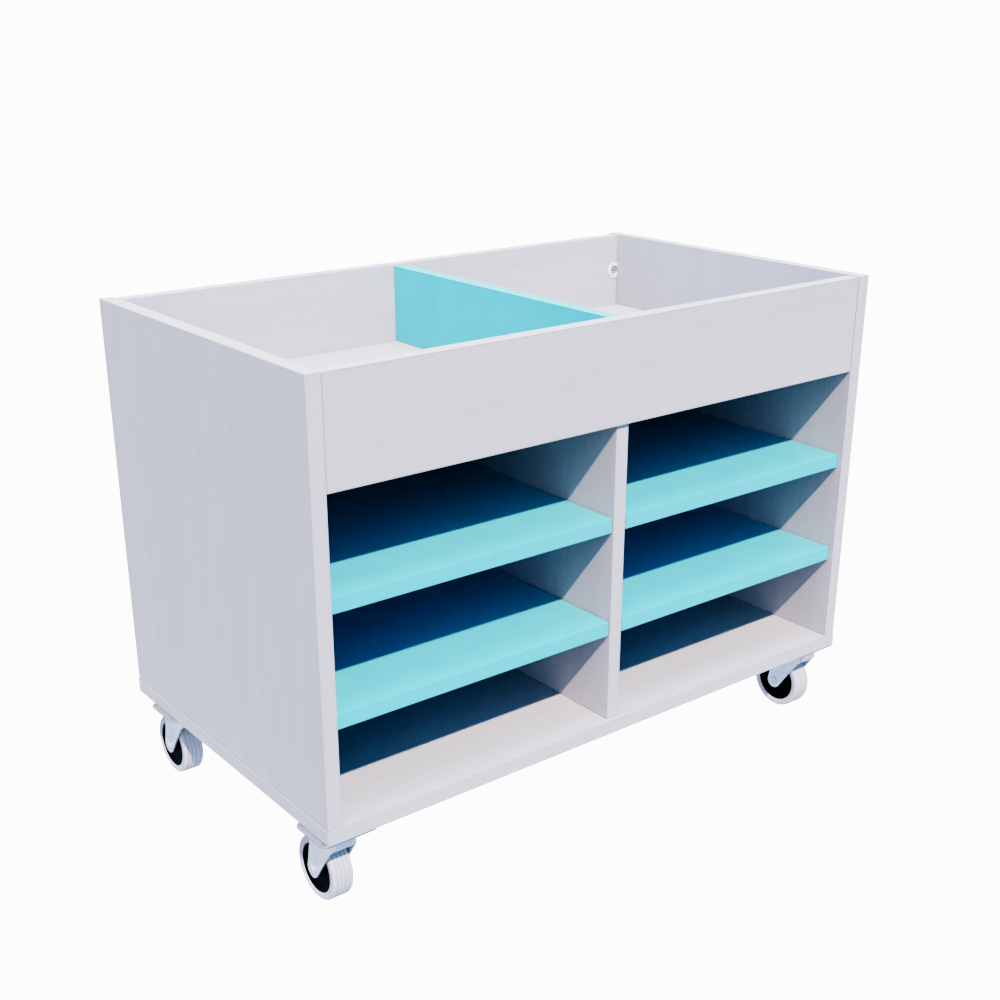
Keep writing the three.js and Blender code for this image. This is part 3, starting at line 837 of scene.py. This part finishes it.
def add_casters():
    plate, screw, race, pin = mount_plate(), plate_screw(), swivel_race(), kingpin()
    legs, bolt, nut, hub, tread = fork(), axle_bolt(), axle_nut(), wheel_hub(), tyre()
    screw_turn = math.radians(37)  # each screw's cross stands this much further round
    for corner in CORNERS:
        swivel = SWIVELS[corner]
        at_swivel = Matrix.Translation((swivel.x, swivel.y, 0))
        at_axle = Matrix.Translation(AXLES[corner])
        body = "cabinet"
        piece(f"{corner}_pressed_plate", plate, at_swivel, body, PLATE_ZINC,
              [f"{corner}_caster_plate"])
        piece(f"{corner}_ball_race", race, at_swivel, body, TURNED_ZINC,
              [f"{corner}_swivel_race"])
        piece(f"{corner}_swivel_rivet", pin, at_swivel, body, TURNED_ZINC,
              [f"{corner}_kingpin"])
        for number, (x, y) in enumerate(screw_places(), 1):
            move = Matrix.Translation((swivel.x + x * MM, swivel.y + y * MM, PLATE["low"] * MM))
            move = move @ Matrix.Rotation(screw_turn * number, 4, "Z")
            piece(f"{corner}_plate_screw_{number}", screw, move, body, TURNED_ZINC)
        body = f"{corner}_caster"
        piece(f"{corner}_pressed_fork", legs, at_swivel, body, PRESSED_ZINC,
              [f"{corner}_fork"])
        piece(f"{corner}_axle_screw", bolt, at_axle, body, TURNED_ZINC,
              [f"{corner}_axle_bolt"])
        piece(f"{corner}_hexagon_nut", nut, at_axle, body, TURNED_ZINC,
              [f"{corner}_axle_nut"])
        body = f"{corner}_wheel"
        piece(f"{corner}_moulded_hub", hub, at_axle, body, BLACK_PLASTIC,
              [f"{corner}_wheel_hub"])
        piece(f"{corner}_ribbed_tyre", tread, at_axle, body, GREY_RUBBER,
              [f"{corner}_tyre"])


# ---------- Floor, light and camera ----------

FLOOR = {"radius": 60000, "low": -60, "high": -0.02}  # mm
FLOOR_DARK, FLOOR_LIGHT = (0.165, 0.165, 0.17), (0.185, 0.185, 0.19)
SKY, SKY_STRENGTH = (0.24, 0.60, 0.98), 0.9
BACKDROP = (5.6, 5.6, 5.6)  # glow of the floor and the world as the camera sees them
# Their glow as reflections see it: the floor within the cart's width, darker and bluer as a
# painted shadow of the cart, the floor to its left and right, and the world. The floor's changes
# between two distances past the cart's side, in metres.
SHADOWED_FLOOR_GLEAM = (0.41, 0.53, 0.80)
OPEN_FLOOR_GLEAM = (0.80, 0.82, 0.88)
SKY_GLEAM = (0.9, 0.9, 0.9)
GLEAM_START, GLEAM_END = -0.01, 0.06

KEY_COLOUR = (1.0, 0.85, 0.765)
KEY_SLOPE = (0.355, 0.765, -1.0)

# Angles in degrees, lengths in metres, the sensor and lens in mm.
CAMERA = {"azimuth": 37.67, "elevation": 22.13, "roll": -0.17, "distance": 1.7644,
          "target": (-0.0236, 0.0, 0.2394), "sensor": 36.0, "lens": 50.2, "shift_x": 0.0167,
          "shift_y": 0.0727, "clip_end": 200.0}
BLACK_LEVEL = (0.014, 0.010, 0.017)


def glow_for_rays(tree, shader, kind, steps):
    """Shows a plain glow, a node of the given kind, to each (kind of ray, colour) in steps. A
    colour is three numbers or a socket."""
    path = tree.nodes.new("ShaderNodeLightPath")
    for ray, colour in steps:
        glow = tree.nodes.new(kind)
        if isinstance(colour, bpy.types.NodeSocket):
            tree.links.new(colour, glow.inputs["Color"])
        else:
            glow.inputs["Color"].default_value = (*colour, 1)
        both = tree.nodes.new("ShaderNodeMixShader")
        tree.links.new(path.outputs[ray], both.inputs["Fac"])
        tree.links.new(shader, both.inputs[1])
        tree.links.new(glow.outputs[0], both.inputs[2])
        shader = both.outputs["Shader"]
    return shader


def add_floor():
    mesh = prism("floor", "z", circle((0, 0), FLOOR["radius"], 120), FLOOR["low"], FLOOR["high"])
    placed("studio_floor", mesh)
    graph = Graph("pale_floor")
    mottle = graph.noise(graph.position, 3.0)
    graph.finish(graph.tint(mottle, FLOOR_DARK, FLOOR_LIGHT), 0.9, Specular_IOR_Level=0.0)
    sideways = graph.math("ABSOLUTE", graph.parts(graph.position)[0])
    half = cad_box[1].x
    beside = graph.fit(sideways, half + GLEAM_START, half + GLEAM_END)
    # painted shadow: reflections see the floor within the cart's width darker and bluer, as if the
    # cart shaded it
    gleam = graph.tint(beside, SHADOWED_FLOOR_GLEAM, OPEN_FLOOR_GLEAM)
    tree = graph.material.node_tree
    shader = glow_for_rays(tree, graph.shader.outputs["BSDF"], "ShaderNodeEmission",
                           (("Is Glossy Ray", gleam), ("Is Camera Ray", BACKDROP)))
    tree.links.new(shader, tree.nodes["Material Output"].inputs["Surface"])
    graph.material.cycles.emission_sampling = "NONE"
    mesh.materials.append(graph.material)


def add_world():
    world = bpy.data.worlds.new("studio")
    bpy.context.scene.world = world
    world.use_nodes = True
    tree = world.node_tree
    tree.nodes.clear()
    sky = tree.nodes.new("ShaderNodeBackground")
    sky.inputs["Color"].default_value = (*SKY, 1)
    sky.inputs["Strength"].default_value = SKY_STRENGTH
    shader = glow_for_rays(tree, sky.outputs["Background"], "ShaderNodeBackground",
                           (("Is Glossy Ray", SKY_GLEAM), ("Is Camera Ray", BACKDROP)))
    tree.links.new(shader, tree.nodes.new("ShaderNodeOutputWorld").inputs["Surface"])


def add_sun(name, energy, colour, slope, spread, bounces, gleams=False):
    """A sun lamp. slope is the way its light travels, spread its angle in degrees, and gleams
    says whether reflections show it."""
    data = bpy.data.lights.new(name, "SUN")
    data.energy = energy
    data.color = colour
    data.angle = math.radians(spread)
    data.cycles.max_bounces = bounces
    lamp = placed(name, data)
    lamp.rotation_mode = "QUATERNION"
    lamp.rotation_quaternion = Vector(slope).to_track_quat("-Z", "Y")
    lamp.visible_glossy = gleams


def add_floor_card():
    """A large soft lamp that lies on the floor under the cart and shines up, as a pale floor
    does."""
    data = bpy.data.lights.new("floor_card", "AREA")
    data.shape = "RECTANGLE"
    data.size, data.size_y = 0.98, 0.63
    data.energy = 1.4
    data.color = (0.72, 0.80, 1.0)
    data.cycles.max_bounces = 1
    lamp = placed("floor_card", data)
    lamp.rotation_euler = (math.pi, 0, 0)
    lamp.visible_camera = False
    lamp.visible_glossy = False


def add_lights():
    add_floor_card()
    add_sun("key", 1.9, KEY_COLOUR, KEY_SLOPE, spread=1.5, bounces=0, gleams=True)
    add_sun("bouncing_key", 2.5, KEY_COLOUR, KEY_SLOPE, spread=1.5, bounces=1, gleams=True)
    add_sun("overhead", 1.4, (1.0, 0.95, 0.92), (0.0, 0.0, -1.0), spread=40.0, bounces=0)
    add_sun("rear_fill", 2.1, (1.0, 0.72, 0.60), (-0.65, -0.75, -0.08), spread=6.0, bounces=0)
    add_sun("side_fill", 0.67, (1.0, 0.60, 0.57), (1.0, 0.3, -0.35), spread=50.0, bounces=0)


def add_camera():
    azimuth, elevation, roll = (
        math.radians(CAMERA[key]) for key in ("azimuth", "elevation", "roll"))
    data = bpy.data.cameras.new("camera")
    data.sensor_width = CAMERA["sensor"]
    data.lens = CAMERA["lens"]
    data.shift_x = CAMERA["shift_x"]
    data.shift_y = CAMERA["shift_y"]
    data.clip_end = CAMERA["clip_end"]
    camera = placed("camera", data)
    forward = Vector((math.sin(azimuth) * math.cos(elevation),
                      math.cos(azimuth) * math.cos(elevation), -math.sin(elevation)))
    camera.location = Vector(CAMERA["target"]) - forward * CAMERA["distance"]
    camera.rotation_mode = "QUATERNION"
    level = forward.to_track_quat("-Z", "Y")
    camera.rotation_quaternion = level @ Quaternion((0, 0, 1), roll)
    bpy.context.scene.camera = camera


def set_view():
    """High contrast, with a black level that makes the deepest compartments black."""
    view = bpy.context.scene.view_settings
    view.view_transform = "Filmic"
    view.look = "Very High Contrast"
    view.use_curve_mapping = True
    view.curve_mapping.black_level = BLACK_LEVEL
    view.curve_mapping.update()


dress_boards()
add_shelf_pins()
add_connectors()
add_casters()
add_floor()
add_world()
add_lights()
add_camera()
set_view()
